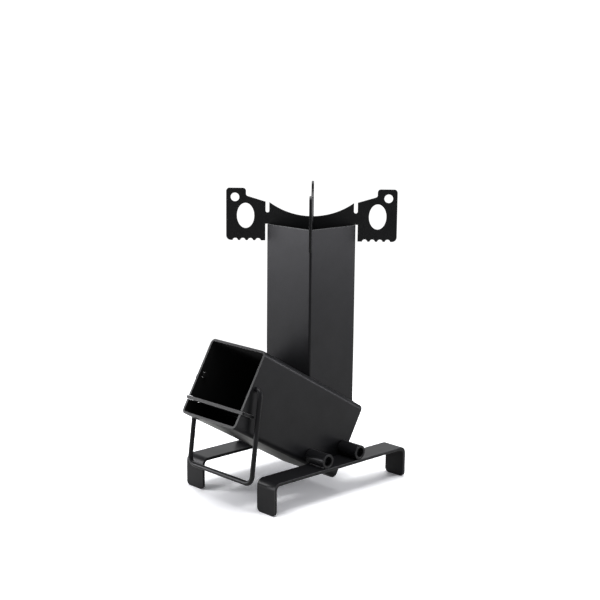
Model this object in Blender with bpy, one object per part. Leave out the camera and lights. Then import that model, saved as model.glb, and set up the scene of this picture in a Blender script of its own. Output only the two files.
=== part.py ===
"""Rocket stove: an inclined feed tube, an upright chimney, two slip-on feet and a crossed pot stand.

Metres, +Z up.  X = 0 is the mid-plane, the feed tube's mouth faces -Y, and the feet stand on
Z = 0.  Y = 0 is halfway between the mouth's lower lip and the back of the feet.
"""

import bmesh
import bpy
from math import atan2, cos, pi, radians, sin, sqrt, tan
from mathutils import Matrix, Vector

MM = 0.001
GAP = 0.3 * MM                     # clearance between pieces that touch

# Feed tube: a square tube along an inclined axis.  "Along" runs from the mouth down to the back,
# "depth" runs from the top face to the bottom face.
TUBE_SIDE = 100 * MM
TUBE_WALL = 3 * MM
TUBE_CORNER = 6.5 * MM
TUBE_LENGTH = 195.3 * MM
TUBE_TILT = radians(30)
MOUTH_TOP_Y = -83.2 * MM
MOUTH_TOP_Z = 194.6 * MM

END_PLATE_THICKNESS = 3 * MM

CHIMNEY_Y = 37.7 * MM              # the chimney's axis
CHIMNEY_SIDE = 80 * MM
CHIMNEY_WALL = 2 * MM
CHIMNEY_CORNER = 2.5 * MM
CHIMNEY_TOP = 331.9 * MM

# Fuel shelf, its notches in the side walls, and the rod it rests on.
SHELF_THICKNESS = 4 * MM
SHELF_WIDTH = 93 * MM
SHELF_EAR_SPAN = 107 * MM
SHELF_EAR_LENGTH = 19.3 * MM
SHELF_LENGTH = 122 * MM
SHELF_FRONT_DEPTH = 80.7 * MM      # depth of the shelf's lower front edge
SHELF_TILT = radians(4)            # the shelf lies this much flatter than the tube
NOTCH_LENGTH = 20.0 * MM
NOTCH_PLAY = 0.4 * MM              # above and below the shelf's ears
SHELF_ROD_RADIUS = 2 * MM
SHELF_ROD_ALONG = 50 * MM

# Cross rods through the low end of the feed tube, and the sleeves that slip over them.
ROD_RADIUS = 5.5 * MM
ROD_Z = 50.3 * MM
ROD_Y = {"front": -9.2 * MM, "rear": 47.6 * MM}
ROD_END_X = 77 * MM
SLEEVE_RADIUS = 9 * MM
SLEEVE_BORE_RADIUS = 6 * MM

FOOT_INNER_X = 51.2 * MM
FOOT_OUTER_X = 83 * MM
FOOT_FRONT_Y = -98.8 * MM
FOOT_BACK_Y = 133.2 * MM
FOOT_TOP = 41 * MM
FOOT_THICKNESS = 4 * MM
FOOT_BEND_RADIUS = 9 * MM          # outside of the bends
FOOT_CORNER = 6 * MM

# Wire bail.
BAIL_RADIUS = 3 * MM
BAIL_HINGE_ALONG = 8 * MM
BAIL_HINGE_DEPTH = 46 * MM
BAIL_LEG_X = 58 * MM
BAIL_DROP = 114 * MM               # hinge axis to the middle of the bottom bar
BAIL_LEAN = radians(7.3)           # forward lean at rest
BAIL_END_X = 43.5 * MM
BAIL_ELBOW_RADIUS = 7.5 * MM
BAIL_CORNER_RADIUS = 10 * MM
BAIL_HOLE_RADIUS = 3.5 * MM

# Pot stand plates: outline across (from the chimney's axis) and up (from the lower edge).
PLATE_THICKNESS = 3 * MM
PLATE_HALF = 107.5 * MM
PLATE_HEIGHT = 66 * MM
PLATE_SEAT_UP = 21.2 * MM          # the chimney's rim, above the plate's lower edge
EAR_INNER = 82.7 * MM
EAR_CORNER = 4 * MM
EAR_FOOT = 3 * MM                  # inside radius where the ear meets the slope
SLOPE_OUTER_UP = 55.6 * MM
SLOPE_INNER_UP = 49 * MM
TOP_SLOT_INNER = 53.2 * MM
TOP_SLOT_OUTER = 58.0 * MM
TOP_SLOT_UP = 35.4 * MM
ARC_BOTTOM_UP = 31.3 * MM
ARC_RADIUS = 91 * MM
RIM_SLOT_INNER = 51.9 * MM
RIM_SLOT_OUTER = 58.2 * MM
SCALLOP_RADIUS = 3.5 * MM
SCALLOP_DROP = 0.65 * MM           # scallop centres lie this much below the lower edge
SCALLOP_FIRST = 67.2 * MM
SCALLOP_PITCH = 9.6 * MM
SCALLOP_COUNT = 4
LOWER_CORNER = 6 * MM
ROUND_HOLE_ACROSS = 96.5 * MM
ROUND_HOLE_UP = 54.5 * MM
ROUND_HOLE_RADIUS = 5.5 * MM
OVAL_ACROSS = 83.1 * MM
OVAL_UP = 31.3 * MM
OVAL_HALF_WIDTH = 11 * MM
OVAL_HALF_HEIGHT = 16 * MM

STEEL_BLACK = (0.035, 0.036, 0.038, 1.0)

# The tube's directions and the point that "along" and "depth" are counted from.
ALONG = Vector((0, cos(TUBE_TILT), -sin(TUBE_TILT)))
UP = Vector((0, sin(TUBE_TILT), cos(TUBE_TILT)))
MOUTH_TOP = Vector((0, MOUTH_TOP_Y, MOUTH_TOP_Z))


def tube_point(x, along, depth):
    """World point at a place in the feed tube."""
    return MOUTH_TOP + Vector((x, 0, 0)) + ALONG * along - UP * depth


def tube_frame(along=0.0, depth=0.0):
    """Matrix whose local X is world X, local Y is the tube's up direction, local Z points back out
    of the mouth."""
    matrix = Matrix((Vector((1, 0, 0)), UP, -ALONG)).transposed().to_4x4()
    matrix.translation = tube_point(0, along, depth)
    return matrix


def clear_scene():
    for item in list(bpy.data.objects):
        bpy.data.objects.remove(item, do_unlink=True)


def powder_coat(name, roughness):
    material = bpy.data.materials.new(name)
    material.use_nodes = True
    shader = material.node_tree.nodes["Principled BSDF"]
    shader.inputs["Base Color"].default_value = STEEL_BLACK
    shader.inputs["Roughness"].default_value = roughness
    shader.inputs["Metallic"].default_value = 0.0
    return material


def add_object(name, mesh_data, matrix, roughness=0.5):
    """Link a mesh as a named object with its own material."""
    mesh = bpy.data.meshes.new(name)
    mesh_data.to_mesh(mesh)
    mesh_data.free()
    mesh.materials.append(powder_coat(name, roughness))
    item = bpy.data.objects.new(name, mesh)
    item.matrix_world = matrix
    bpy.context.collection.objects.link(item)
    return item


def smooth(item, angle=35):
    item.data.shade_smooth()
    item.data.set_sharp_from_angle(angle=radians(angle))


def arc(centre_x, centre_y, radius, start, stop, steps):
    """Points on an arc, angles in degrees, both ends included."""
    points = []
    for i in range(steps + 1):
        angle = radians(start + (stop - start) * i / steps)
        points.append((centre_x + radius * cos(angle), centre_y + radius * sin(angle)))
    return points


def rounded_rectangle(width, height, radius, steps=5):
    """Counter-clockwise outline centred on the origin."""
    x = width / 2 - radius
    y = height / 2 - radius
    return (arc(x, y, radius, 0, 90, steps) + arc(-x, y, radius, 90, 180, steps)
            + arc(-x, -y, radius, 180, 270, steps) + arc(x, -y, radius, 270, 360, steps))


def prism(outline, low, high):
    """Closed solid: an outline in local X and Y, from local Z low to high."""
    solid = bmesh.new()
    bottom = [solid.verts.new((x, y, low)) for x, y in outline]
    top = [solid.verts.new((x, y, high)) for x, y in outline]
    count = len(outline)
    solid.faces.new(list(reversed(bottom)))
    solid.faces.new(top)
    for i in range(count):
        j = (i + 1) % count
        solid.faces.new((bottom[i], bottom[j], top[j], top[i]))
    return solid


def pipe(outer, inner, low, high):
    """Closed solid: a tube between two outlines of the same count, from local Z low to high."""
    solid = bmesh.new()
    count = len(outer)
    rings = []
    for outline, height in ((outer, low), (outer, high), (inner, high), (inner, low)):
        rings.append([solid.verts.new((x, y, height)) for x, y in outline])
    for k in range(4):
        ring = rings[k]
        following = rings[(k + 1) % 4]
        for i in range(count):
            j = (i + 1) % count
            solid.faces.new((ring[i], ring[j], following[j], following[i]))
    return solid


def add_cutter(name, mesh_data, matrix):
    cutter = add_object(name, mesh_data, matrix)
    cutter.hide_render = True
    cutter.display_type = "WIRE"
    return cutter


def boolean(item, cutter, operation="DIFFERENCE"):
    modifier = item.modifiers.new(cutter.name, "BOOLEAN")
    modifier.operation = operation
    modifier.solver = "EXACT"
    modifier.object = cutter


def along_x(x, y, z):
    """Matrix whose local Z is world X, local X is world Y and local Y is world Z."""
    matrix = Matrix(((0, 0, 1), (1, 0, 0), (0, 1, 0))).to_4x4()
    matrix.translation = Vector((x, y, z))
    return matrix


def circle(radius, count):
    """Points on a whole circle."""
    return arc(0, 0, radius, 0, 360, count)[:-1]


# ---------------------------------------------------------------- body

def make_feed_tube():
    outer = rounded_rectangle(TUBE_SIDE, TUBE_SIDE, TUBE_CORNER)
    inner_side = TUBE_SIDE - 2 * TUBE_WALL
    inner = rounded_rectangle(inner_side, inner_side, TUBE_CORNER - TUBE_WALL)
    matrix = tube_frame(0, TUBE_SIDE / 2)
    tube = add_object("feed_tube", pipe(outer, inner, -TUBE_LENGTH, 0), matrix)

    # Opening under the chimney: an upright shaft through the top wall only.
    inside = CHIMNEY_SIDE / 2 - CHIMNEY_WALL
    middle_z = tube_point(0, (CHIMNEY_Y - MOUTH_TOP_Y) / cos(TUBE_TILT), 0).z
    reach = 40 * MM
    profile = [(-inside, -reach), (inside, -reach), (inside, reach), (-inside, reach)]
    slanted = prism(profile, -inside, inside)
    shear = Matrix.Identity(4)
    shear[1][2] = tan(TUBE_TILT)
    bmesh.ops.transform(slanted, matrix=shear, verts=slanted.verts)
    upright = Matrix(((1, 0, 0), (0, 0, -1), (0, 1, 0))).to_4x4()
    upright.translation = Vector((0, CHIMNEY_Y, middle_z))
    boolean(tube, add_cutter("cut_chimney_opening", slanted, upright))

    # Notches for the shelf's ears, open at the mouth, in both side walls, at the shelf's slope.
    over = 5 * MM
    wide = TUBE_SIDE / 2 + over
    profile = [(-wide, -over), (wide, -over), (wide, NOTCH_LENGTH), (-wide, NOTCH_LENGTH)]
    notch = prism(profile, -NOTCH_PLAY, SHELF_THICKNESS + NOTCH_PLAY)
    boolean(tube, add_cutter("cut_shelf_notches", notch, shelf_frame()))

    # Round holes through both side walls for the bail and the cross rods.
    hinge = bail_hinge()
    holes = [("cut_bail_holes", hinge.y, hinge.z, BAIL_HOLE_RADIUS, 24)]
    for place, y in ROD_Y.items():
        holes.append(("cut_" + place + "_rod_holes", y, ROD_Z, ROD_RADIUS + GAP, 32))
    for name, y, z, radius, count in holes:
        drill = prism(circle(radius, count), -wide, wide)
        boolean(tube, add_cutter(name, drill, along_x(0, y, z)))
    smooth(tube)


def make_end_plate():
    side = TUBE_SIDE - 2 * TUBE_WALL - 2 * GAP
    outline = rounded_rectangle(side, side, TUBE_CORNER - TUBE_WALL)
    matrix = tube_frame(TUBE_LENGTH, TUBE_SIDE / 2)
    smooth(add_object("end_plate", prism(outline, 0, END_PLATE_THICKNESS), matrix))


def make_chimney():
    """Square tube whose lower end is cut to lie on the feed tube's top face."""
    outer = rounded_rectangle(CHIMNEY_SIDE, CHIMNEY_SIDE, CHIMNEY_CORNER)
    inner_side = CHIMNEY_SIDE - 2 * CHIMNEY_WALL
    inner = rounded_rectangle(inner_side, inner_side, CHIMNEY_CORNER - CHIMNEY_WALL)
    solid = pipe(outer, inner, 0, CHIMNEY_TOP)
    lift = GAP / cos(TUBE_TILT)
    for vert in solid.verts:
        if vert.co.z < CHIMNEY_TOP / 2:
            run = CHIMNEY_Y + vert.co.y - MOUTH_TOP_Y
            vert.co.z = MOUTH_TOP_Z - run * tan(TUBE_TILT) + lift
    smooth(add_object("chimney_tube", solid, Matrix.Translation((0, CHIMNEY_Y, 0))))


def make_cross_rods():
    for place, y in ROD_Y.items():
        rod = prism(circle(ROD_RADIUS, 24), -ROD_END_X, ROD_END_X)
        smooth(add_object(place + "_cross_rod", rod, along_x(0, y, ROD_Z)))


def shelf_rod_depth():
    """Depth of the shelf rod's centre: just clear of the tilted shelf's underside."""
    underside = SHELF_FRONT_DEPTH - SHELF_ROD_ALONG * tan(SHELF_TILT)
    return underside + GAP + SHELF_ROD_RADIUS


def make_shelf_rod():
    place = tube_point(0, SHELF_ROD_ALONG, shelf_rod_depth())
    half = TUBE_SIDE / 2 - TUBE_WALL - GAP
    rod = prism(circle(SHELF_ROD_RADIUS, 16), -half, half)
    smooth(add_object("shelf_rod", rod, along_x(0, place.y, place.z)))


# ---------------------------------------------------------------- fuel shelf

def shelf_frame():
    """Matrix at the shelf's lower front edge: local Y points inward along the shelf, local Z up."""
    slope = TUBE_TILT - SHELF_TILT
    inward = Vector((0, cos(slope), -sin(slope)))
    upward = Vector((0, sin(slope), cos(slope)))
    matrix = Matrix((Vector((1, 0, 0)), inward, upward)).transposed().to_4x4()
    matrix.translation = tube_point(0, 0, SHELF_FRONT_DEPTH)
    return matrix


def make_fuel_shelf():
    """T-shaped plate.  Its parent empty lies on the slide's line at the lower front edge."""
    guide = bpy.data.objects.new("shelf_slide", None)
    guide.matrix_world = shelf_frame()
    bpy.context.collection.objects.link(guide)
    half = SHELF_WIDTH / 2
    ear = SHELF_EAR_SPAN / 2
    tip = 2 * MM
    outline = (arc(ear - tip, tip, tip, 270, 360, 3)
               + [(ear, SHELF_EAR_LENGTH), (half, SHELF_EAR_LENGTH), (half, SHELF_LENGTH),
                  (-half, SHELF_LENGTH), (-half, SHELF_EAR_LENGTH), (-ear, SHELF_EAR_LENGTH)]
               + arc(-ear + tip, tip, tip, 180, 270, 3))
    shelf = add_object("fuel_shelf", prism(outline, 0, SHELF_THICKNESS), Matrix.Identity(4))
    shelf.parent = guide


# ---------------------------------------------------------------- wire bail

def bail_hinge():
    return tube_point(0, BAIL_HINGE_ALONG, BAIL_HINGE_DEPTH)


def fillet(before, corner, after, radius, steps):
    """Points of a round bend of the given radius at a corner."""
    to_before = (before - corner).normalized()
    to_after = (after - corner).normalized()
    half_angle = to_before.angle(to_after) / 2
    reach = radius / tan(half_angle)
    start = corner + to_before * reach
    stop = corner + to_after * reach
    centre = corner + (to_before + to_after).normalized() * radius / sin(half_angle)
    first = start - centre
    last = stop - centre
    sweep = first.angle(last)
    points = []
    for i in range(steps + 1):
        t = i / steps
        blend = (first * sin((1 - t) * sweep) + last * sin(t * sweep)) / sin(sweep)
        points.append(centre + blend)
    return points


def sweep_rod(path, radius, count):
    """Closed round rod along a path that lies in the local XZ plane."""
    solid = bmesh.new()
    rings = []
    side = Vector((0, 1, 0))
    for i, point in enumerate(path):
        before = path[max(i - 1, 0)]
        after = path[min(i + 1, len(path) - 1)]
        forward = (after - before).normalized()
        across = side.cross(forward)
        ring = []
        for k in range(count):
            angle = 2 * pi * k / count
            ring.append(solid.verts.new(point + (side * cos(angle) + across * sin(angle)) * radius))
        rings.append(ring)
    for ring, following in zip(rings, rings[1:]):
        for k in range(count):
            m = (k + 1) % count
            solid.faces.new((ring[k], ring[m], following[m], following[k]))
    solid.faces.new(list(reversed(rings[0])))
    solid.faces.new(rings[-1])
    bmesh.ops.recalc_face_normals(solid, faces=solid.faces)
    return solid


def make_wire_bail():
    """U-shaped rod.  Its parent empty is on the hinge axis, leaning with the bail."""
    empty = bpy.data.objects.new("bail_hinge", None)
    matrix = Matrix.Rotation(-BAIL_LEAN, 4, "X")
    matrix.translation = bail_hinge()
    empty.matrix_world = matrix
    bpy.context.collection.objects.link(empty)
    corners = [Vector((BAIL_END_X, 0, 0)), Vector((BAIL_LEG_X, 0, 0)), Vector((BAIL_LEG_X, 0, -BAIL_DROP)),
               Vector((-BAIL_LEG_X, 0, -BAIL_DROP)), Vector((-BAIL_LEG_X, 0, 0)),
               Vector((-BAIL_END_X, 0, 0))]
    radii = [BAIL_ELBOW_RADIUS, BAIL_CORNER_RADIUS, BAIL_CORNER_RADIUS, BAIL_ELBOW_RADIUS]
    path = [corners[0]]
    for i, radius in enumerate(radii):
        path += fillet(corners[i], corners[i + 1], corners[i + 2], radius, 6)
    path.append(corners[-1])
    bail = add_object("wire_bail", sweep_rod(path, BAIL_RADIUS, 16), Matrix.Identity(4))
    bail.parent = empty
    smooth(bail)


# ---------------------------------------------------------------- feet

def make_foot(side_name, side):
    """One foot: a bar with both ends bent down, and a sleeve over each cross rod."""
    inner_radius = FOOT_BEND_RADIUS - FOOT_THICKNESS
    front = FOOT_FRONT_Y + FOOT_BEND_RADIUS
    back = FOOT_BACK_Y - FOOT_BEND_RADIUS
    bend_z = FOOT_TOP - FOOT_BEND_RADIUS
    bend_steps = 6
    outside = arc(back, bend_z, FOOT_BEND_RADIUS, 0, 90, bend_steps)
    outside += arc(front, bend_z, FOOT_BEND_RADIUS, 90, 180, bend_steps)
    inside = arc(front, bend_z, inner_radius, 180, 90, bend_steps)
    inside += arc(back, bend_z, inner_radius, 90, 0, bend_steps)
    profile = [(FOOT_BACK_Y, 0)] + outside + [(FOOT_FRONT_Y, 0), (FOOT_FRONT_Y + FOOT_THICKNESS, 0)]
    profile += inside + [(FOOT_BACK_Y - FOOT_THICKNESS, 0)]
    low_x = min(side * FOOT_INNER_X, side * FOOT_OUTER_X)
    width = FOOT_OUTER_X - FOOT_INNER_X
    bar = add_object(side_name + "_foot_bar", prism(profile, 0, width), along_x(low_x, 0, 0))

    # Round the lower corners of both legs, seen from the front.
    over = 10 * MM
    keep = (arc(FOOT_CORNER, FOOT_CORNER, FOOT_CORNER, 180, 270, 5)
            + arc(width - FOOT_CORNER, FOOT_CORNER, FOOT_CORNER, 270, 360, 5)
            + [(width, FOOT_TOP + over), (0, FOOT_TOP + over)])
    block = prism(keep, -FOOT_BACK_Y - over, -FOOT_FRONT_Y + over)
    facing = Matrix(((1, 0, 0), (0, 0, -1), (0, 1, 0))).to_4x4()
    facing.translation = Vector((low_x, 0, 0))
    boolean(bar, add_cutter("keep_" + side_name + "_foot", block, facing), "INTERSECT")
    smooth(bar)

    for place, y in ROD_Y.items():
        sleeve = pipe(circle(SLEEVE_RADIUS, 32), circle(SLEEVE_BORE_RADIUS, 32), 0, width)
        smooth(add_object(side_name + "_" + place + "_sleeve", sleeve, along_x(low_x, y, ROD_Z)))


# ---------------------------------------------------------------- pot stand

def wing_outline():
    """Right half of a pot plate's outline, from the middle of the lower edge round to the middle
    of the top arc, without the cross slot."""
    points = [(RIM_SLOT_INNER, 0), (RIM_SLOT_INNER, PLATE_SEAT_UP), (RIM_SLOT_OUTER, PLATE_SEAT_UP),
              (RIM_SLOT_OUTER, 0)]
    reach = sqrt(SCALLOP_RADIUS ** 2 - SCALLOP_DROP ** 2)
    half_angle = atan2(SCALLOP_DROP, reach) * 180 / pi
    for i in range(SCALLOP_COUNT):
        centre = SCALLOP_FIRST + i * SCALLOP_PITCH
        points += arc(centre, -SCALLOP_DROP, SCALLOP_RADIUS, 180 - half_angle, half_angle, 8)
    points += arc(PLATE_HALF - LOWER_CORNER, LOWER_CORNER, LOWER_CORNER, 270, 360, 6)
    points += arc(PLATE_HALF - EAR_CORNER, PLATE_HEIGHT - EAR_CORNER, EAR_CORNER, 0, 90, 5)
    points += arc(EAR_INNER + EAR_CORNER, PLATE_HEIGHT - EAR_CORNER, EAR_CORNER, 90, 180, 5)
    points += arc(EAR_INNER - EAR_FOOT, SLOPE_OUTER_UP + EAR_FOOT, EAR_FOOT, 360, 287, 4)
    points.append((TOP_SLOT_OUTER, SLOPE_INNER_UP))
    slot_radius = (TOP_SLOT_OUTER - TOP_SLOT_INNER) / 2
    slot_middle = (TOP_SLOT_OUTER + TOP_SLOT_INNER) / 2
    points += arc(slot_middle, TOP_SLOT_UP + slot_radius, slot_radius, 360, 180, 8)
    arc_centre = ARC_BOTTOM_UP + ARC_RADIUS
    start = -90 + atan2(TOP_SLOT_INNER, sqrt(ARC_RADIUS ** 2 - TOP_SLOT_INNER ** 2)) * 180 / pi
    points += arc(0, arc_centre, ARC_RADIUS, start, -90, 14)[:-1]
    return points


def plate_outline(slot_from_top):
    """Whole outline, counter-clockwise, with the cross slot from the top or from below."""
    right = wing_outline()
    slot = PLATE_THICKNESS / 2 + GAP
    middle = ARC_BOTTOM_UP / 2
    left = [(-x, z) for x, z in reversed(right)]
    if slot_from_top:
        notch = [(slot, ARC_BOTTOM_UP), (slot, middle - GAP / 2), (-slot, middle - GAP / 2),
                 (-slot, ARC_BOTTOM_UP)]
        return right + notch + left
    notch = [(-slot, 0), (-slot, middle + GAP / 2), (slot, middle + GAP / 2), (slot, 0)]
    return right + left + notch


def make_pot_plate(name, turn, slot_from_top):
    """Upright plate through the chimney's axis, turned about Z to a diagonal.  Its lower edge hangs
    below the rim that its two narrow lower slots straddle."""
    base = CHIMNEY_TOP + GAP - PLATE_SEAT_UP
    matrix = Matrix.Rotation(turn, 4, "Z") @ Matrix(((1, 0, 0), (0, 0, -1), (0, 1, 0))).to_4x4()
    matrix.translation = Vector((0, CHIMNEY_Y, base))
    half = PLATE_THICKNESS / 2
    plate = add_object(name, prism(plate_outline(slot_from_top), -half, half), matrix)
    for side in (-1, 1):
        tag = name + ("_right" if side > 0 else "_left")
        hole = [(side * ROUND_HOLE_ACROSS + x, ROUND_HOLE_UP + z) for x, z in circle(ROUND_HOLE_RADIUS, 20)]
        boolean(plate, add_cutter("cut_hole_" + tag, prism(hole, -2 * half, 2 * half), matrix))
        oval = []
        for x, z in circle(1.0, 32):
            oval.append((side * OVAL_ACROSS + OVAL_HALF_WIDTH * x, OVAL_UP + OVAL_HALF_HEIGHT * z))
        boolean(plate, add_cutter("cut_oval_" + tag, prism(oval, -2 * half, 2 * half), matrix))
    smooth(plate, 30)


def main():
    clear_scene()
    make_feed_tube()
    make_end_plate()
    make_chimney()
    make_cross_rods()
    make_shelf_rod()
    make_fuel_shelf()
    make_wire_bail()
    make_foot("left", -1)
    make_foot("right", 1)
    make_pot_plate("pot_plate_lower", radians(45), True)
    make_pot_plate("pot_plate_upper", radians(-45), False)


main()
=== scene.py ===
"""Looks of the rocket stove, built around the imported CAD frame.

Metres, +Z up.  X = 0 is the mid-plane, the feed tube's mouth faces -Y and the feet stand on Z = 0.
Each CAD node is replaced by a finer piece with rounded edges, fine bends and weld beads.
"""

from math import atan2, cos, pi, radians, sin, sqrt, tan

import bmesh
import bpy
from mathutils import Matrix, Vector


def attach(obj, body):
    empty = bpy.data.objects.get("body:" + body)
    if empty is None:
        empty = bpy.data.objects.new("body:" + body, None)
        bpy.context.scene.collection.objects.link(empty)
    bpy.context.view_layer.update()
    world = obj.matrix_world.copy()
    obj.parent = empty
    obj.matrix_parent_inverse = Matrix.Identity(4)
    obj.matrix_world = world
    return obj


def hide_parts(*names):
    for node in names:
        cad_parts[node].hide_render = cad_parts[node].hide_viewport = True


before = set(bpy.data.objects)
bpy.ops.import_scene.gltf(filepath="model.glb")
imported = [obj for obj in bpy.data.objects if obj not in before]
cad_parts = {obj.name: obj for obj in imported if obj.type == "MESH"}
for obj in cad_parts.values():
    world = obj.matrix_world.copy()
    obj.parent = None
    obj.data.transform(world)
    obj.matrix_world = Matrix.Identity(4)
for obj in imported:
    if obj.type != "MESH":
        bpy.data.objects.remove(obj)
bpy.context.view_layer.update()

MM = 0.001
GAP = 0.3 * MM                     # clearance between pieces that touch
EDGE = 0.6 * MM                    # rounding of cut and sheared edges
PLATE_EDGE = 0.35 * MM             # the same on the laser-cut pot plates
SLEEVE_EDGE = 0.15 * MM            # and on the turned ends of the sleeves

# Feed tube.  "Along" runs from the mouth down to the back, "depth" from the top face down.
TUBE_SIDE = 100 * MM
TUBE_WALL = 3 * MM
TUBE_CORNER = 6.5 * MM
TUBE_LENGTH = 195.3 * MM
TUBE_TILT = radians(30)
MOUTH_TOP_Y = -83.2 * MM
MOUTH_TOP_Z = 194.6 * MM
END_PLATE_THICKNESS = 3 * MM

CHIMNEY_Y = 37.7 * MM              # the chimney's axis
CHIMNEY_SIDE = 80 * MM
CHIMNEY_WALL = 2 * MM
CHIMNEY_CORNER = 2.5 * MM
CHIMNEY_TOP = 331.9 * MM

# Fuel shelf, its notches and the rod it rests on.
SHELF_THICKNESS = 4 * MM
SHELF_WIDTH = 93 * MM
SHELF_EAR_SPAN = 107 * MM
SHELF_EAR_LENGTH = 19.3 * MM
SHELF_LENGTH = 122 * MM
SHELF_FRONT_DEPTH = 80.7 * MM
SHELF_TILT = radians(4)
NOTCH_LENGTH = 20.0 * MM
NOTCH_PLAY = 0.4 * MM
SHELF_ROD_RADIUS = 2 * MM
SHELF_ROD_ALONG = 50 * MM
SHELF_ROD_CHAMFER = 0.3 * MM
SHELF_EAR_CORNER = 2 * MM

# Cross rods and sleeves.
ROD_RADIUS = 5.5 * MM
ROD_Z = 50.3 * MM
ROD_Y = {"front": -9.2 * MM, "rear": 47.6 * MM}
ROD_END_X = 77 * MM
ROD_CHAMFER = 0.6 * MM
SLEEVE_RADIUS = 9 * MM
SLEEVE_BORE_RADIUS = 6 * MM
SLEEVE_CHAMFER = 0.5 * MM

# Feet.
FOOT_INNER_X = 51.2 * MM
FOOT_OUTER_X = 83 * MM
FOOT_FRONT_Y = -98.8 * MM
FOOT_BACK_Y = 133.2 * MM
FOOT_TOP = 41 * MM
FOOT_THICKNESS = 4 * MM
FOOT_BEND_RADIUS = 9 * MM
FOOT_CORNER = 6 * MM

# Wire bail.
BAIL_RADIUS = 3 * MM
BAIL_HINGE_ALONG = 8 * MM
BAIL_HINGE_DEPTH = 46 * MM
BAIL_LEG_X = 58 * MM
BAIL_DROP = 114 * MM
BAIL_LEAN = radians(7.3)
BAIL_END_X = 43.5 * MM
BAIL_ELBOW_RADIUS = 7.5 * MM
BAIL_CORNER_RADIUS = 10 * MM
BAIL_HOLE_RADIUS = 3.5 * MM
BAIL_STRAIGHT = 3 * MM             # straight stretch at each end, inside the wall
BAIL_CHAMFER = 0.4 * MM

# Pot stand plates: across from the chimney's axis, up from the lower edge.
PLATE_THICKNESS = 3 * MM
PLATE_HALF = 107.5 * MM
PLATE_HEIGHT = 66 * MM
PLATE_SEAT_UP = 21.2 * MM
EAR_INNER = 82.7 * MM
EAR_CORNER = 4 * MM
EAR_FOOT = 3 * MM
SLOPE_OUTER_UP = 55.6 * MM
SLOPE_INNER_UP = 49 * MM
TOP_SLOT_INNER = 53.2 * MM
TOP_SLOT_OUTER = 58.0 * MM
TOP_SLOT_UP = 35.4 * MM
ARC_BOTTOM_UP = 31.3 * MM
ARC_RADIUS = 91 * MM
RIM_SLOT_INNER = 51.9 * MM
RIM_SLOT_OUTER = 58.2 * MM
SCALLOP_RADIUS = 3.5 * MM
SCALLOP_DROP = 0.65 * MM
SCALLOP_FIRST = 67.2 * MM
SCALLOP_PITCH = 9.6 * MM
SCALLOP_COUNT = 4
LOWER_CORNER = 6 * MM
ROUND_HOLE_ACROSS = 96.5 * MM
ROUND_HOLE_UP = 54.5 * MM
ROUND_HOLE_RADIUS = 5.5 * MM
OVAL_ACROSS = 83.1 * MM
OVAL_UP = 31.3 * MM
OVAL_HALF_WIDTH = 11 * MM
OVAL_HALF_HEIGHT = 16 * MM

# Weld beads: radius and the pitch of the ripples.
CHIMNEY_BEAD = 1.3 * MM
CHIMNEY_RIPPLE = 2.4 * MM
SLEEVE_BEAD = 1.3 * MM
SLEEVE_RIPPLE = 2.3 * MM
ROD_BEAD = 0.8 * MM
ROD_RIPPLE = 2.2 * MM

# How finely round shapes are divided.
BEAD_SIDES = 10
BAIL_SIDES = 40
SHELF_ROD_SIDES = 40
HOLE_SIDES = 48
ROD_SIDES = 64
OVAL_SIDES = 72
BEND_STEPS = 16

# Studio.
FLOOR_RADIUS = 1.15
FADE_START = 0.4                   # the floor fades into the backdrop between these distances
FADE_END = 0.9
ROOM_LIGHT = 0.38
BACKDROP_LIGHT = 1.1
FLOOR_SEEN = (1.25, 1.25, 1.27, 1)       # over 1, so that the lit floor overexposes to white
FLOOR_BOUNCE = (0.60, 0.60, 0.58, 1)
NEUTRAL = (1, 1, 1)
COOL = (0.95, 0.94, 1)
SOFTBOXES = [                      # name, place, target, size, watts, colour
    ("top_softbox", (0, 0, 1.9), (0, 0, 0), (1.4, 1.4), 38.6, NEUTRAL),
    ("back_top_softbox", (-1.0, 1.0, 1.6), (0, 0, 0.1), (1.0, 1.0), 8, NEUTRAL),
    ("front_top_softbox", (0.9, -0.9, 1.8), (0, 0, 0.1), (1.0, 1.0), 1.5, NEUTRAL),
    ("mouth_softbox", (-1.5, -1.3, 0.85), (0, -0.1, 0.15), (0.6, 0.6), 14, NEUTRAL),
    ("low_left_softbox", (-1.9, -1.7, 0.32), (0, 0, 0.2), (1.4, 0.6), 30, COOL),
    ("low_right_softbox", (1.8, 1.8, 0.32), (0, 0, 0.2), (1.4, 0.6), 22.5, COOL),
    ("low_back_softbox", (-1.7, 1.7, 0.6), (0, 0, 0.1), (1.6, 0.9), 2.6, NEUTRAL),
]

# Camera, at the viewing angle of the photograph.
LENS_MM = 77.6
SENSOR_MM = 36
CAMERA_PLACE = Vector((1.1592, -1.0919, 0.5412))
CAMERA_FORWARD = Vector((-0.70938, 0.67985, -0.18599))
CAMERA_ROLL = radians(0.585)

ALONG = Vector((0, cos(TUBE_TILT), -sin(TUBE_TILT)))
UP = Vector((0, sin(TUBE_TILT), cos(TUBE_TILT)))
MOUTH_TOP = Vector((0, MOUTH_TOP_Y, MOUTH_TOP_Z))


def tube_point(x, along, depth):
    """World point at a place in the feed tube."""
    return MOUTH_TOP + Vector((x, 0, 0)) + ALONG * along - UP * depth


def tube_frame(along=0.0, depth=0.0):
    """Matrix whose local X is world X, local Y is the tube's up, local Z points out of the mouth."""
    matrix = Matrix((Vector((1, 0, 0)), UP, -ALONG)).transposed().to_4x4()
    matrix.translation = tube_point(0, along, depth)
    return matrix


def along_x(x, y, z):
    """Matrix whose local Z is world X, local X is world Y and local Y is world Z."""
    matrix = Matrix(((0, 0, 1), (1, 0, 0), (0, 1, 0))).to_4x4()
    matrix.translation = Vector((x, y, z))
    return matrix


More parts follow.
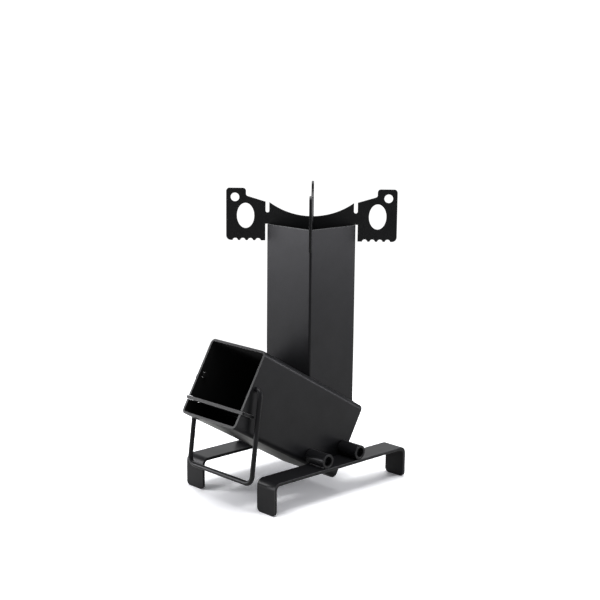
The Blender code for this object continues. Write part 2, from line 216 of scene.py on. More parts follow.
def facing_front(x, y, z, turn=0.0):
    """Matrix whose local X is world X, local Y is world Z and local Z is world -Y, then turned."""
    upright = Matrix(((1, 0, 0), (0, 0, -1), (0, 1, 0))).to_4x4()
    matrix = Matrix.Rotation(turn, 4, "Z") @ upright
    matrix.translation = Vector((x, y, z))
    return matrix


# ---------------------------------------------------------------- material

def powder_coat(name, color, rough, coat_scale):
    """Satin powder coat over steel: fine orange peel, faint mottling and handling marks."""
    material = bpy.data.materials.new(name)
    material.use_nodes = True
    nodes = material.node_tree.nodes
    links = material.node_tree.links
    shader = nodes["Principled BSDF"]
    shader.inputs["Specular IOR Level"].default_value = 0.17
    where = nodes.new("ShaderNodeTexCoord")

    def noise(scale, detail, roughness=0.5):
        node = nodes.new("ShaderNodeTexNoise")
        node.inputs["Scale"].default_value = scale
        node.inputs["Detail"].default_value = detail
        node.inputs["Roughness"].default_value = roughness
        links.new(where.outputs["Object"], node.inputs["Vector"])
        return node

    def ramp(source, low, high, value_low, value_high):
        node = nodes.new("ShaderNodeMapRange")
        node.inputs["From Min"].default_value = low
        node.inputs["From Max"].default_value = high
        node.inputs["To Min"].default_value = value_low
        node.inputs["To Max"].default_value = value_high
        links.new(source, node.inputs["Value"])
        return node.outputs["Result"]

    # Colour: slow mottling of the coat's thickness and fine pigment grain.
    mottle = noise(38, 4, 0.6)
    grain = noise(1500, 2)
    darker = [c * 0.82 for c in color] + [1]
    lighter = [c * 1.22 for c in color] + [1]
    tint = nodes.new("ShaderNodeMix")
    tint.data_type = "RGBA"
    tint.inputs[6].default_value = darker
    tint.inputs[7].default_value = lighter
    links.new(ramp(mottle.outputs["Fac"], 0.3, 0.7, 0, 1), tint.inputs[0])
    speck = nodes.new("ShaderNodeMix")
    speck.data_type = "RGBA"
    speck.blend_type = "MULTIPLY"
    speck.inputs[0].default_value = 1
    links.new(tint.outputs[2], speck.inputs[6])
    links.new(ramp(grain.outputs["Fac"], 0.3, 0.7, 0.88, 1.12), speck.inputs[7])
    links.new(speck.outputs[2], shader.inputs["Base Color"])

    # Roughness: handling marks and the same grain.
    smudge = noise(16, 5, 0.65)
    spread = nodes.new("ShaderNodeMath")
    spread.operation = "ADD"
    links.new(ramp(smudge.outputs["Fac"], 0.3, 0.7, rough - 0.04, rough + 0.05), spread.inputs[0])
    links.new(ramp(grain.outputs["Fac"], 0.3, 0.7, -0.02, 0.02), spread.inputs[1])
    links.new(spread.outputs[0], shader.inputs["Roughness"])

    # Relief: orange peel with a finer pebble on top.
    peel = noise(coat_scale, 1)
    pebble = noise(coat_scale * 3.1, 2)
    first = nodes.new("ShaderNodeBump")
    first.inputs["Strength"].default_value = 0.35
    first.inputs["Distance"].default_value = 0.05 * MM
    links.new(peel.outputs["Fac"], first.inputs["Height"])
    second = nodes.new("ShaderNodeBump")
    second.inputs["Strength"].default_value = 0.3
    second.inputs["Distance"].default_value = 0.02 * MM
    links.new(pebble.outputs["Fac"], second.inputs["Height"])
    links.new(first.outputs["Normal"], second.inputs["Normal"])
    links.new(second.outputs["Normal"], shader.inputs["Normal"])
    return material


def coat_pair(slot, color, rough, coat_scale, highlight_and_wear):
    """The coat itself, and the thinner, smoother coat on the rounded edges, made lighter as a painted
    highlight along the edges, with a little wear.
    """
    # The edge coat's colour is lifted: a painted highlight on the rounded edges, with a little wear.
    edge_color = [c * 2.2 + highlight_and_wear for c in color]
    return (powder_coat(slot + "_face", color, rough, coat_scale),
            powder_coat(slot + "_edge", edge_color, rough - 0.08, coat_scale))


# The last number lifts the edge coat's colour: a painted highlight on the rounded edges, with a little
# wear.
COATS = {
    "tube_powder_coat": coat_pair("tube_powder_coat", (0.0085, 0.0085, 0.0095), 0.34, 900, 0.05),
    "rod_powder_coat": coat_pair("rod_powder_coat", (0.0075, 0.0075, 0.0085), 0.32, 1100, 0.02),
    "plate_powder_coat": coat_pair("plate_powder_coat", (0.0085, 0.0085, 0.009), 0.40, 1000, 0.05),
    "foot_powder_coat": coat_pair("foot_powder_coat", (0.0085, 0.0085, 0.0095), 0.34, 900, 0.02),
}
# Painted shade: a darker, matt coat for the faces inside the tubes, standing in for the shade there.
INSIDE_SHADE = powder_coat("painted_inside_shade", (0.004, 0.004, 0.004), 0.85, 700)


# ---------------------------------------------------------------- outlines and solids

def arc(centre_x, centre_y, radius, start, stop, steps):
    """Points on an arc, angles in degrees, both ends included."""
    points = []
    for i in range(steps + 1):
        angle = radians(start + (stop - start) * i / steps)
        points.append((centre_x + radius * cos(angle), centre_y + radius * sin(angle)))
    return points


def circle(radius, count):
    return arc(0, 0, radius, 0, 360, count)[:-1]


def rounded_square(side, radius, steps=10):
    """Outline of a square tube or plate, centred, with round corners."""
    middle = side / 2 - radius
    return (arc(middle, middle, radius, 0, 90, steps)
            + arc(-middle, middle, radius, 90, 180, steps)
            + arc(-middle, -middle, radius, 180, 270, steps)
            + arc(middle, -middle, radius, 270, 360, steps))


def prism(outline, low, high):
    """Solid with the outline in local XY, between two heights."""
    solid = bmesh.new()
    bottom = [solid.verts.new((x, y, low)) for x, y in outline]
    top = [solid.verts.new((x, y, high)) for x, y in outline]
    solid.faces.new(list(reversed(bottom)))
    solid.faces.new(top)
    for i in range(len(outline)):
        j = (i + 1) % len(outline)
        solid.faces.new((bottom[i], bottom[j], top[j], top[i]))
    return solid


def pipe(outer, inner, low, high):
    """Open tube between two outlines with the same number of points."""
    solid = bmesh.new()
    rings = []
    for outline, height in ((outer, low), (outer, high), (inner, high), (inner, low)):
        rings.append([solid.verts.new((x, y, height)) for x, y in outline])
    for k in range(4):
        ring = rings[k]
        following = rings[(k + 1) % 4]
        for i in range(len(outer)):
            j = (i + 1) % len(outer)
            solid.faces.new((ring[i], ring[j], following[j], following[i]))
    return solid


def turned(profile, count):
    """Solid turned about local Z from (radius, height) points that start and end on the axis."""
    solid = bmesh.new()
    rings = []
    for radius, height in profile[1:-1]:
        ring = []
        for k in range(count):
            angle = 2 * pi * k / count
            ring.append(solid.verts.new((radius * cos(angle), radius * sin(angle), height)))
        rings.append(ring)
    for ring, following in zip(rings, rings[1:]):
        for k in range(count):
            m = (k + 1) % count
            solid.faces.new((ring[k], ring[m], following[m], following[k]))
    for ring, (_, height) in ((rings[0], profile[0]), (rings[-1], profile[-1])):
        tip = solid.verts.new((0, 0, height))
        for k in range(count):
            solid.faces.new((ring[k], ring[(k + 1) % count], tip))
    bmesh.ops.recalc_face_normals(solid, faces=solid.faces)
    return solid


def turned_ring(profile, count):
    """Ring turned about local Z from a closed loop of (radius, height) points."""
    solid = bmesh.new()
    columns = []
    for k in range(count):
        angle = 2 * pi * k / count
        columns.append([solid.verts.new((r * cos(angle), r * sin(angle), z)) for r, z in profile])
    for k in range(count):
        column = columns[k]
        following = columns[(k + 1) % count]
        for i in range(len(profile)):
            j = (i + 1) % len(profile)
            solid.faces.new((column[i], following[i], following[j], column[j]))
    bmesh.ops.recalc_face_normals(solid, faces=solid.faces)
    return solid


# ---------------------------------------------------------------- objects

def make_object(name, solid, matrix):
    """Link a solid, with its place put into the mesh."""
    solid.transform(matrix)
    mesh = bpy.data.meshes.new(name)
    solid.to_mesh(mesh)
    solid.free()
    item = bpy.data.objects.new(name, mesh)
    bpy.context.collection.objects.link(item)
    return item


def apply_modifiers(item):
    """Keep what the modifiers make as the piece's own mesh."""
    graph = bpy.context.evaluated_depsgraph_get()
    made = bpy.data.meshes.new_from_object(item.evaluated_get(graph))
    item.modifiers.clear()
    item.data = made


def cut(item, cutters, operation="DIFFERENCE"):
    """Take the cutters out of a piece and remove them."""
    for cutter in cutters:
        modifier = item.modifiers.new(cutter.name, "BOOLEAN")
        modifier.operation = operation
        modifier.solver = "EXACT"
        modifier.object = cutter
    apply_modifiers(item)
    for cutter in cutters:
        bpy.data.objects.remove(cutter, do_unlink=True)


def finish_piece(item, body, slot, nodes=(), edge=EDGE, angle=30):
    """Round the sharp edges, give both coats, and put the piece on its body."""
    face_coat, edge_coat = COATS[slot]
    item.data.materials.clear()
    item.data.materials.append(face_coat)
    item.data.materials.append(edge_coat)
    if edge:
        bevel = item.modifiers.new("rounded_edges", "BEVEL")
        bevel.width = edge
        bevel.segments = 3
        bevel.limit_method = "ANGLE"
        bevel.angle_limit = radians(angle)
        # The rounded edges take the lighter edge coat, a painted highlight.
        bevel.material = 1
        apply_modifiers(item)
    for polygon in item.data.polygons:
        polygon.use_smooth = True
    normals = item.modifiers.new("flat_faces_stay_flat", "WEIGHTED_NORMAL")
    normals.keep_sharp = True
    item.data.set_sharp_from_angle(angle=radians(60))
    if nodes:
        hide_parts(*nodes)
    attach(item, body)
    return item


def paint_shade_inside(item, to_local, half, mouth):
    """Give the faces that lie inside a square tube the darker, matt coat: painted shade for the unlit
    inside.

    Half is half the tube's inner side, and mouth the local height of its open end.  Past the end's
    own rounded edge, the rounded edges of holes through the wall take the painted shade too.
    """
    item.data.materials.append(INSIDE_SHADE)
    skin = 0.01 * MM
    for polygon in item.data.polygons:
        centre = to_local @ polygon.center
        reach = half + skin
        if centre.z < mouth - 3 * EDGE:
            reach += EDGE
        if max(abs(centre.x), abs(centre.y)) < reach:
            polygon.material_index = 2


# Painted shade on the faces inside the feed tube.
def paint_shade_in_feed_tube(item):
    paint_shade_inside(item, tube_frame(0, TUBE_SIDE / 2).inverted(), TUBE_SIDE / 2 - TUBE_WALL, 0)


def bead(name, path, radius, ripple, body, slot, closed=True):
    """Weld bead: a half-sunk cord along a path of (point, outward) pairs, with even ripples."""
    solid = bmesh.new()
    rings = []
    total = len(path)
    walked = 0.0
    for i, (point, outward) in enumerate(path):
        before = path[(i - 1) % total if closed else max(i - 1, 0)][0]
        after = path[(i + 1) % total if closed else min(i + 1, total - 1)][0]
        forward = (after - before).normalized()
        side = outward.normalized()
        lift = forward.cross(side).normalized()
        if i:
            walked += (point - path[i - 1][0]).length
        swell = 1 + 0.12 * sin(2 * pi * walked / ripple) + 0.05 * sin(2 * pi * walked / (ripple * 5.3))
        taper = 1.0
        if not closed:
            taper = min(1.0, 0.45 + 0.2 * i, 0.45 + 0.2 * (total - 1 - i))
        ring = []
        for k in range(BEAD_SIDES):
            angle = 2 * pi * k / BEAD_SIDES
            offset = (side * cos(angle) + lift * sin(angle)) * radius * swell * taper
            ring.append(solid.verts.new(point + offset))
        rings.append(ring)
    pairs = list(zip(rings, rings[1:]))
    if closed:
        pairs.append((rings[-1], rings[0]))
    for ring, following in pairs:
        for k in range(BEAD_SIDES):
            m = (k + 1) % BEAD_SIDES
            solid.faces.new((ring[k], ring[m], following[m], following[k]))
    if not closed:
        solid.faces.new(list(reversed(rings[0])))
        solid.faces.new(rings[-1])
    bmesh.ops.recalc_face_normals(solid, faces=solid.faces)
    item = make_object(name, solid, Matrix.Identity(4))
    return finish_piece(item, body, slot, edge=0)


def walk(corners, step):
    """Points at even steps along the closed line through the corners."""
    points = []
    for i, corner in enumerate(corners):
        following = corners[(i + 1) % len(corners)]
        length = (following - corner).length
        steps = max(1, round(length / step))
        for k in range(steps):
            points.append(corner.lerp(following, k / steps))
    return points


# ---------------------------------------------------------------- body

def make_feed_tube():
    """Square tube with the opening under the chimney, the shelf's notches and the rods' holes."""
    outer = rounded_square(TUBE_SIDE, TUBE_CORNER)
    inner_side = TUBE_SIDE - 2 * TUBE_WALL
    inner = rounded_square(inner_side, TUBE_CORNER - TUBE_WALL)
    matrix = tube_frame(0, TUBE_SIDE / 2)
    tube = make_object("feed_tube_wall", pipe(outer, inner, -TUBE_LENGTH, 0), matrix)
    over = 5 * MM
    wide = TUBE_SIDE / 2 + over

    inside = CHIMNEY_SIDE / 2 - CHIMNEY_WALL
    middle_z = tube_point(0, (CHIMNEY_Y - MOUTH_TOP_Y) / cos(TUBE_TILT), 0).z
    reach = 40 * MM
    profile = [(-inside, -reach), (inside, -reach), (inside, reach), (-inside, reach)]
    slanted = prism(profile, -inside, inside)
    shear = Matrix.Identity(4)
    shear[1][2] = tan(TUBE_TILT)
    slanted.transform(shear)
    cutters = [make_object("cut_opening", slanted, facing_front(0, CHIMNEY_Y, middle_z))]

    profile = [(-wide, -over), (wide, -over), (wide, NOTCH_LENGTH), (-wide, NOTCH_LENGTH)]
    notch = prism(profile, -NOTCH_PLAY, SHELF_THICKNESS + NOTCH_PLAY)
    cutters.append(make_object("cut_notches", notch, shelf_frame()))

    hinge = bail_hinge()
    holes = [("bail", hinge.y, hinge.z, BAIL_HOLE_RADIUS)]
    for place, y in ROD_Y.items():
        holes.append((place, y, ROD_Z, ROD_RADIUS + GAP))
    for name, y, z, radius in holes:
        drill = prism(circle(radius, HOLE_SIDES), -wide, wide)
        cutters.append(make_object("cut_" + name, drill, along_x(0, y, z)))
    cut(tube, cutters)
    finish_piece(tube, "body", "tube_powder_coat", ["feed_tube"])
    # Painted shade on the faces inside the feed tube.
    paint_shade_in_feed_tube(tube)


def make_end_plate():
    """Plate that closes the tube's low end from inside."""
    side = TUBE_SIDE - 2 * TUBE_WALL - 2 * GAP
    outline = rounded_square(side, TUBE_CORNER - TUBE_WALL)
    matrix = tube_frame(TUBE_LENGTH, TUBE_SIDE / 2)
    plate = make_object("end_plate_sheet", prism(outline, 0, END_PLATE_THICKNESS), matrix)
    finish_piece(plate, "body", "tube_powder_coat", ["end_plate"])


def make_chimney():
    """Upright square tube, cut to the feed tube's slope, and the weld bead round its foot."""
    outer = rounded_square(CHIMNEY_SIDE, CHIMNEY_CORNER)
    inner_side = CHIMNEY_SIDE - 2 * CHIMNEY_WALL
    inner = rounded_square(inner_side, CHIMNEY_CORNER - CHIMNEY_WALL)
    solid = pipe(outer, inner, 0, CHIMNEY_TOP)
    lift = GAP / cos(TUBE_TILT)
    for vert in solid.verts:
        if vert.co.z < CHIMNEY_TOP / 2:
            run = CHIMNEY_Y + vert.co.y - MOUTH_TOP_Y
            vert.co.z = MOUTH_TOP_Z - run * tan(TUBE_TILT) + lift
    tube = make_object("chimney_wall", solid, Matrix.Translation((0, CHIMNEY_Y, 0)))
    finish_piece(tube, "body", "tube_powder_coat", ["chimney_tube"])
    axis = Matrix.Translation((0, -CHIMNEY_Y, 0))
    # Painted shade on the faces inside the chimney.
    paint_shade_inside(tube, axis, CHIMNEY_SIDE / 2 - CHIMNEY_WALL, CHIMNEY_TOP)

    # The bead runs on the feed tube's sloping top face.
    round_chimney = CHIMNEY_SIDE + 0.4 * MM
    points = []
    for x, y in rounded_square(round_chimney, 2 * MM, 4):
        run = CHIMNEY_Y + y - MOUTH_TOP_Y
        points.append(Vector((x, CHIMNEY_Y + y, MOUTH_TOP_Z - run * tan(TUBE_TILT))))
    centre = Vector((0, CHIMNEY_Y, 0))
    path = []
    for point in walk(points, 0.7 * MM):
        away = point - centre
        path.append((point, Vector((away.x, away.y, 0))))
    bead("chimney_weld", path, CHIMNEY_BEAD, CHIMNEY_RIPPLE, "body", "tube_powder_coat")


def rod_profile(radius, low, high, chamfer):
    """Half section of a round rod with chamfered ends."""
    return [(0, low), (radius - chamfer, low), (radius, low + chamfer), (radius, high - chamfer),
            (radius - chamfer, high), (0, high)]


def make_cross_rods():
    """Both rods through the feed tube, with a bead where each comes out of the wall."""
    for place, y in ROD_Y.items():
        rod = turned(rod_profile(ROD_RADIUS, -ROD_END_X, ROD_END_X, ROD_CHAMFER), ROD_SIDES)
        item = make_object(place + "_cross_rod_bar", rod, along_x(0, y, ROD_Z))
        finish_piece(item, "body", "rod_powder_coat", [place + "_cross_rod"], edge=0)
        for side_name, side in (("left", -1), ("right", 1)):
            path = []
            centre = Vector((side * (TUBE_SIDE / 2 + 0.1 * MM), y, ROD_Z))
            for outward_y, outward_z in circle(1, HOLE_SIDES):
                outward = Vector((0, outward_y, outward_z))
                path.append((centre + outward * (ROD_RADIUS + 0.1 * MM), outward))
            name = place + "_" + side_name + "_rod_weld"
            bead(name, path, ROD_BEAD, ROD_RIPPLE, "body", "rod_powder_coat")


def shelf_rod_depth():
    underside = SHELF_FRONT_DEPTH - SHELF_ROD_ALONG * tan(SHELF_TILT)
    return underside + GAP + SHELF_ROD_RADIUS


def make_shelf_rod():
    """Rod across the inside of the feed tube, under the shelf."""
    place = tube_point(0, SHELF_ROD_ALONG, shelf_rod_depth())
    half = TUBE_SIDE / 2 - TUBE_WALL - GAP
    profile = rod_profile(SHELF_ROD_RADIUS, -half, half, SHELF_ROD_CHAMFER)
    rod = turned(profile, SHELF_ROD_SIDES)
    item = make_object("shelf_rod_bar", rod, along_x(0, place.y, place.z))
    finish_piece(item, "body", "rod_powder_coat", ["shelf_rod"], edge=0)


# ---------------------------------------------------------------- fuel shelf

def shelf_frame():
    """Matrix at the shelf's lower front edge: local Y points inward along the shelf, local Z up."""
    slope = TUBE_TILT - SHELF_TILT
    inward = Vector((0, cos(slope), -sin(slope)))
    upward = Vector((0, sin(slope), cos(slope)))
    matrix = Matrix((Vector((1, 0, 0)), inward, upward)).transposed().to_4x4()
    matrix.translation = tube_point(0, 0, SHELF_FRONT_DEPTH)
    return matrix


def make_fuel_shelf():
    """T-shaped plate whose ears lie in the notches."""
    half = SHELF_WIDTH / 2
    ear = SHELF_EAR_SPAN / 2
    tip = SHELF_EAR_CORNER
    outline = (arc(ear - tip, tip, tip, 270, 360, 8)
               + [(ear, SHELF_EAR_LENGTH), (half, SHELF_EAR_LENGTH), (half, SHELF_LENGTH),
                  (-half, SHELF_LENGTH), (-half, SHELF_EAR_LENGTH), (-ear, SHELF_EAR_LENGTH)]
               + arc(-ear + tip, tip, tip, 180, 270, 8))
    shelf = make_object("fuel_shelf_plate", prism(outline, 0, SHELF_THICKNESS), shelf_frame())
    finish_piece(shelf, "shelf", "plate_powder_coat", ["fuel_shelf"])


# ---------------------------------------------------------------- wire bail

def bail_hinge():
    """Point on the bail's hinge axis, in the tube's mid-plane."""
    return tube_point(0, BAIL_HINGE_ALONG, BAIL_HINGE_DEPTH)


def fillet(before, corner, after, radius, steps):
    """Points of a round bend of the given radius at a corner."""
    to_before = (before - corner).normalized()
    to_after = (after - corner).normalized()
    half_angle = to_before.angle(to_after) / 2
    reach = radius / tan(half_angle)
    start = corner + to_before * reach
    stop = corner + to_after * reach
    centre = corner + (to_before + to_after).normalized() * radius / sin(half_angle)
    first = start - centre
    last = stop - centre
    sweep = first.angle(last)
    points = []
    for i in range(steps + 1):
        t = i / steps
        blend = (first * sin((1 - t) * sweep) + last * sin(t * sweep)) / sin(sweep)
        points.append(centre + blend)
    return points


def sweep_rod(path, radius, count, chamfer):
    """Closed round rod along a path in the local XZ plane, with chamfered ends."""
    solid = bmesh.new()
    side = Vector((0, 1, 0))
    stations = []
    for i, point in enumerate(path):
        before = path[max(i - 1, 0)]
        after = path[min(i + 1, len(path) - 1)]
        stations.append((point, (after - before).normalized(), radius))
    first, last = stations[0], stations[-1]
    stations[0] = (first[0] + first[1] * chamfer, first[1], radius)
    stations[-1] = (last[0] - last[1] * chamfer, last[1], radius)
    stations.insert(0, (first[0], first[1], radius - chamfer))
    stations.append((last[0], last[1], radius - chamfer))
    rings = []
    for point, forward, size in stations:
        across = side.cross(forward)
        ring = []
        for k in range(count):
            angle = 2 * pi * k / count
            ring.append(solid.verts.new(point + (side * cos(angle) + across * sin(angle)) * size))
        rings.append(ring)
    for ring, following in zip(rings, rings[1:]):
        for k in range(count):
            m = (k + 1) % count
            solid.faces.new((ring[k], ring[m], following[m], following[k]))
    solid.faces.new(list(reversed(rings[0])))
    solid.faces.new(rings[-1])
    bmesh.ops.recalc_face_normals(solid, faces=solid.faces)
    return solid


def make_wire_bail():
    """U-shaped rod whose two ends turn in the feed tube's side walls."""
    matrix = Matrix.Rotation(-BAIL_LEAN, 4, "X")
    matrix.translation = bail_hinge()
    corners = [Vector((BAIL_END_X, 0, 0)), Vector((BAIL_LEG_X, 0, 0)),
               Vector((BAIL_LEG_X, 0, -BAIL_DROP)), Vector((-BAIL_LEG_X, 0, -BAIL_DROP)),
               Vector((-BAIL_LEG_X, 0, 0)), Vector((-BAIL_END_X, 0, 0))]
    radii = [BAIL_ELBOW_RADIUS, BAIL_CORNER_RADIUS, BAIL_CORNER_RADIUS, BAIL_ELBOW_RADIUS]
    straight = Vector((BAIL_STRAIGHT, 0, 0))
    path = [corners[0], corners[0] + straight]
    for i, radius in enumerate(radii):
        path += fillet(corners[i], corners[i + 1], corners[i + 2], radius, BEND_STEPS)
    path += [corners[-1] - straight, corners[-1]]
    rod = sweep_rod(path, BAIL_RADIUS, BAIL_SIDES, BAIL_CHAMFER)
    bail = make_object("wire_bail_rod", rod, matrix)
    finish_piece(bail, "bail", "rod_powder_coat", ["wire_bail"], edge=0)
    # Painted shade on the bail's ends that reach inside the feed tube.
    paint_shade_in_feed_tube(bail)


# ---------------------------------------------------------------- feet

def foot_profile():
    """Side view of a foot's bar: a flat strap with both ends bent down, in world Y and Z."""
    inner_radius = FOOT_BEND_RADIUS - FOOT_THICKNESS
    front = FOOT_FRONT_Y + FOOT_BEND_RADIUS
    back = FOOT_BACK_Y - FOOT_BEND_RADIUS
    bend_z = FOOT_TOP - FOOT_BEND_RADIUS
    outside = arc(back, bend_z, FOOT_BEND_RADIUS, 0, 90, BEND_STEPS)
    outside += arc(front, bend_z, FOOT_BEND_RADIUS, 90, 180, BEND_STEPS)
    inside = arc(front, bend_z, inner_radius, 180, 90, BEND_STEPS)
    inside += arc(back, bend_z, inner_radius, 90, 0, BEND_STEPS)
    return ([(FOOT_BACK_Y, 0)] + outside + [(FOOT_FRONT_Y, 0), (FOOT_FRONT_Y + FOOT_THICKNESS, 0)]
            + inside + [(FOOT_BACK_Y - FOOT_THICKNESS, 0)])


def make_foot(side_name, side):
    """Bent bar with two sleeves and their beads; side is -1 for left and 1 for right."""
    body = side_name + "_foot"
    low_x = min(side * FOOT_INNER_X, side * FOOT_OUTER_X)
    width = FOOT_OUTER_X - FOOT_INNER_X
    strap = prism(foot_profile(), 0, width)
    bar = make_object(side_name + "_foot_strap", strap, along_x(low_x, 0, 0))

    # Round the corners that stand on the floor.
    over = 10 * MM
    keep = (arc(FOOT_CORNER, FOOT_CORNER, FOOT_CORNER, 180, 270, 12)
            + arc(width - FOOT_CORNER, FOOT_CORNER, FOOT_CORNER, 270, 360, 12)
            + [(width + over, FOOT_TOP + over), (-over, FOOT_TOP + over)])
    block = prism(keep, -FOOT_BACK_Y - over, -FOOT_FRONT_Y + over)
    cut(bar, [make_object("keep_corners", block, facing_front(low_x, 0, 0))], "INTERSECT")
    finish_piece(bar, body, "foot_powder_coat", [side_name + "_foot_bar"])

    for place, y in ROD_Y.items():
        make_sleeve(side_name + "_" + place + "_sleeve", body, low_x, y, width)


def make_sleeve(node, body, low_x, y, width):
    """Short tube across a foot's bar, with a bead in front of it and behind it."""
    chamfer = SLEEVE_CHAMFER
    profile = [(SLEEVE_BORE_RADIUS, chamfer), (SLEEVE_BORE_RADIUS + chamfer, 0),
               (SLEEVE_RADIUS - chamfer, 0), (SLEEVE_RADIUS, chamfer),
               (SLEEVE_RADIUS, width - chamfer), (SLEEVE_RADIUS - chamfer, width),
               (SLEEVE_BORE_RADIUS + chamfer, width), (SLEEVE_BORE_RADIUS, width - chamfer)]
    sleeve = make_object(node + "_tube", turned_ring(profile, ROD_SIDES), along_x(low_x, y, ROD_Z))
    finish_piece(sleeve, body, "foot_powder_coat", [node], edge=SLEEVE_EDGE)

    inset = 2 * MM
    offset = 2.6 * MM
    height = FOOT_TOP + 0.55 * MM
    count = 36
    for which, direction in (("front", -1), ("back", 1)):
        path = []
        for k in range(count + 1):
            x = low_x + inset + (width - 2 * inset) * k / count
            path.append((Vector((x, y + direction * offset, height)), Vector((0, direction, 0))))
        name = node + "_weld_" + which
        bead(name, path, SLEEVE_BEAD, SLEEVE_RIPPLE, body, "foot_powder_coat", closed=False)


# ---------------------------------------------------------------- pot stand

def wing_outline():
    """Right half of a pot plate's outline, from the lower edge round to the middle of the top."""
    points = [(RIM_SLOT_INNER, 0), (RIM_SLOT_INNER, PLATE_SEAT_UP), (RIM_SLOT_OUTER, PLATE_SEAT_UP),
              (RIM_SLOT_OUTER, 0)]
    reach = sqrt(SCALLOP_RADIUS ** 2 - SCALLOP_DROP ** 2)
    half_angle = atan2(SCALLOP_DROP, reach) * 180 / pi
    for i in range(SCALLOP_COUNT):
        centre = SCALLOP_FIRST + i * SCALLOP_PITCH
        points += arc(centre, -SCALLOP_DROP, SCALLOP_RADIUS, 180 - half_angle, half_angle, 14)
    points += arc(PLATE_HALF - LOWER_CORNER, LOWER_CORNER, LOWER_CORNER, 270, 360, 12)
    points += arc(PLATE_HALF - EAR_CORNER, PLATE_HEIGHT - EAR_CORNER, EAR_CORNER, 0, 90, 10)
    points += arc(EAR_INNER + EAR_CORNER, PLATE_HEIGHT - EAR_CORNER, EAR_CORNER, 90, 180, 10)
    points += arc(EAR_INNER - EAR_FOOT, SLOPE_OUTER_UP + EAR_FOOT, EAR_FOOT, 360, 287, 8)
    points.append((TOP_SLOT_OUTER, SLOPE_INNER_UP))
    slot_radius = (TOP_SLOT_OUTER - TOP_SLOT_INNER) / 2
    slot_middle = (TOP_SLOT_OUTER + TOP_SLOT_INNER) / 2
    points += arc(slot_middle, TOP_SLOT_UP + slot_radius, slot_radius, 360, 180, 16)
    arc_centre = ARC_BOTTOM_UP + ARC_RADIUS
    start = -90 + atan2(TOP_SLOT_INNER, sqrt(ARC_RADIUS ** 2 - TOP_SLOT_INNER ** 2)) * 180 / pi
    points += arc(0, arc_centre, ARC_RADIUS, start, -90, 30)[:-1]
    return points


def plate_outline(slot_from_top):
    """Whole outline of a pot plate, with its half-lap slot cut from the top or from below."""
    right = wing_outline()
    slot = PLATE_THICKNESS / 2 + GAP
    middle = ARC_BOTTOM_UP / 2
    left = [(-x, z) for x, z in reversed(right)]
    if slot_from_top:
        notch = [(slot, ARC_BOTTOM_UP), (slot, middle - GAP / 2), (-slot, middle - GAP / 2),
                 (-slot, ARC_BOTTOM_UP)]
        return right + notch + left
    notch = [(-slot, 0), (-slot, middle + GAP / 2), (slot, middle + GAP / 2), (slot, 0)]
    return right + left + notch


def make_pot_plate(which, turn, slot_from_top):
    """One of the two crossed plates, with a round and an oval hole in each wing."""
    matrix = facing_front(0, CHIMNEY_Y, CHIMNEY_TOP + GAP - PLATE_SEAT_UP, turn)
    half = PLATE_THICKNESS / 2
    blank = prism(plate_outline(slot_from_top), -half, half)
    plate = make_object("pot_stand_" + which, blank, matrix)
    cutters = []
    for side in (-1, 1):
        hole = []
        for x, z in circle(ROUND_HOLE_RADIUS, HOLE_SIDES):
            hole.append((side * ROUND_HOLE_ACROSS + x, ROUND_HOLE_UP + z))
        oval = []
        for x, z in circle(1, OVAL_SIDES):
            oval.append((side * OVAL_ACROSS + OVAL_HALF_WIDTH * x, OVAL_UP + OVAL_HALF_HEIGHT * z))
        for outline in (hole, oval):
            cutters.append(make_object("cut_plate", prism(outline, -2 * half, 2 * half), matrix))
    cut(plate, cutters)
    node = "pot_plate_" + which
    finish_piece(plate, which + "_plate", "plate_powder_coat", [node], edge=PLATE_EDGE)


# ---------------------------------------------------------------- studio

def floor_material():
    """Matt white.  Away from the stove it fades into the background's white, so no edge shows."""
    material = bpy.data.materials.new("studio_white")
    material.use_nodes = True
    nodes = material.node_tree.nodes
    links = material.node_tree.links
    shader = nodes["Principled BSDF"]
    shader.inputs["Roughness"].default_value = 0.75
    shader.inputs["Specular IOR Level"].default_value = 0.2
    seen = nodes.new("ShaderNodeLightPath")
    tone = nodes.new("ShaderNodeMix")
    tone.data_type = "RGBA"
    tone.inputs[6].default_value = FLOOR_BOUNCE
    tone.inputs[7].default_value = FLOOR_SEEN
    links.new(seen.outputs["Is Camera Ray"], tone.inputs[0])
    links.new(tone.outputs[2], shader.inputs["Base Color"])

    where = nodes.new("ShaderNodeTexCoord")
    distance = nodes.new("ShaderNodeVectorMath")
    distance.operation = "LENGTH"
    links.new(where.outputs["Object"], distance.inputs[0])
    fade = nodes.new("ShaderNodeMapRange")
    fade.interpolation_type = "SMOOTHSTEP"
    fade.inputs["From Min"].default_value = FADE_START
    fade.inputs["From Max"].default_value = FADE_END
    links.new(distance.outputs["Value"], fade.inputs["Value"])
    both = nodes.new("ShaderNodeMath")
    both.operation = "MULTIPLY"
    links.new(fade.outputs["Result"], both.inputs[0])
    links.new(seen.outputs["Is Camera Ray"], both.inputs[1])
    white = nodes.new("ShaderNodeEmission")
    white.inputs["Strength"].default_value = BACKDROP_LIGHT
    mix = nodes.new("ShaderNodeMixShader")
    links.new(both.outputs[0], mix.inputs[0])
    links.new(shader.outputs[0], mix.inputs[1])
    links.new(white.outputs[0], mix.inputs[2])
    links.new(mix.outputs[0], nodes["Material Output"].inputs["Surface"])
    return material


def make_floor():
    """Pale round floor."""
    solid = bmesh.new()
    count = 96
    rings = []
    for radius in (0.2, 0.4, 0.7, FLOOR_RADIUS):
        ring = []
        for k in range(count):
            angle = 2 * pi * k / count
            ring.append(solid.verts.new((radius * cos(angle), radius * sin(angle), 0)))
        rings.append(ring)
    middle = solid.verts.new((0, 0, 0))
    for k in range(count):
        solid.faces.new((middle, rings[0][k], rings[0][(k + 1) % count]))
    for ring, following in zip(rings, rings[1:]):
        for k in range(count):
            m = (k + 1) % count
            solid.faces.new((ring[k], following[k], following[m], ring[m]))
    floor = make_object("studio_floor", solid, Matrix.Identity(4))
    floor.data.materials.append(floor_material())


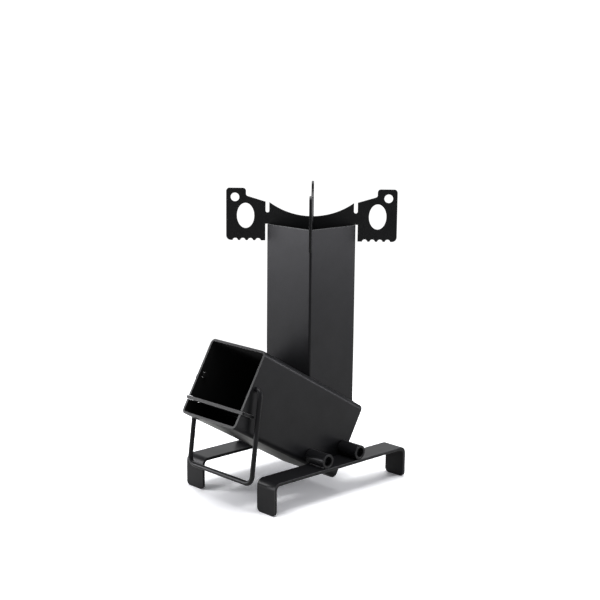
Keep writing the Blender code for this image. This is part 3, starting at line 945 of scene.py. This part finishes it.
def add_softbox(name, place, target, size, power, color):
    """Rectangular lamp that lights the stove and stays out of the picture."""
    data = bpy.data.lights.new(name, "AREA")
    data.shape = "RECTANGLE"
    data.size = size[0]
    data.size_y = size[1]
    data.energy = power
    data.color = color
    lamp = bpy.data.objects.new(name, data)
    lamp.location = place
    lamp.rotation_euler = (Vector(target) - Vector(place)).to_track_quat("-Z", "Y").to_euler()
    lamp.visible_camera = False
    bpy.context.collection.objects.link(lamp)


def make_world():
    """White where the camera looks past the stove; a dimmer room in everything the stove mirrors."""
    world = bpy.data.worlds.new("studio")
    world.use_nodes = True
    nodes = world.node_tree.nodes
    links = world.node_tree.links
    backdrop = nodes["Background"]
    backdrop.inputs["Color"].default_value = (1, 1, 1, 1)
    backdrop.inputs["Strength"].default_value = BACKDROP_LIGHT
    room = nodes.new("ShaderNodeBackground")
    room.inputs["Color"].default_value = (0.95, 0.97, 1.0, 1)
    room.inputs["Strength"].default_value = ROOM_LIGHT
    seen = nodes.new("ShaderNodeLightPath")
    mix = nodes.new("ShaderNodeMixShader")
    links.new(seen.outputs["Is Camera Ray"], mix.inputs[0])
    links.new(room.outputs[0], mix.inputs[1])
    links.new(backdrop.outputs[0], mix.inputs[2])
    links.new(mix.outputs[0], nodes["World Output"].inputs["Surface"])
    bpy.context.scene.world = world


def make_studio():
    make_floor()
    make_world()
    for softbox in SOFTBOXES:
        add_softbox(*softbox)
    bpy.context.scene.view_settings.view_transform = "Standard"
    bpy.context.scene.view_settings.look = "None"


def make_camera():
    data = bpy.data.cameras.new("camera")
    data.sensor_width = SENSOR_MM
    data.lens = LENS_MM
    camera = bpy.data.objects.new("camera", data)
    forward = CAMERA_FORWARD.normalized()
    right = forward.cross(Vector((0, 0, 1))).normalized()
    up = right.cross(forward)
    tilted_right = right * cos(CAMERA_ROLL) + up * sin(CAMERA_ROLL)
    tilted_up = tilted_right.cross(forward)
    matrix = Matrix((tilted_right, tilted_up, -forward)).transposed().to_4x4()
    matrix.translation = CAMERA_PLACE
    camera.matrix_world = matrix
    bpy.context.collection.objects.link(camera)
    bpy.context.scene.camera = camera


make_feed_tube()
make_end_plate()
make_chimney()
make_cross_rods()
make_shelf_rod()
make_fuel_shelf()
make_wire_bail()
make_foot("left", -1)
make_foot("right", 1)
make_pot_plate("lower", radians(45), True)
make_pot_plate("upper", radians(-45), False)
make_studio()
make_camera()
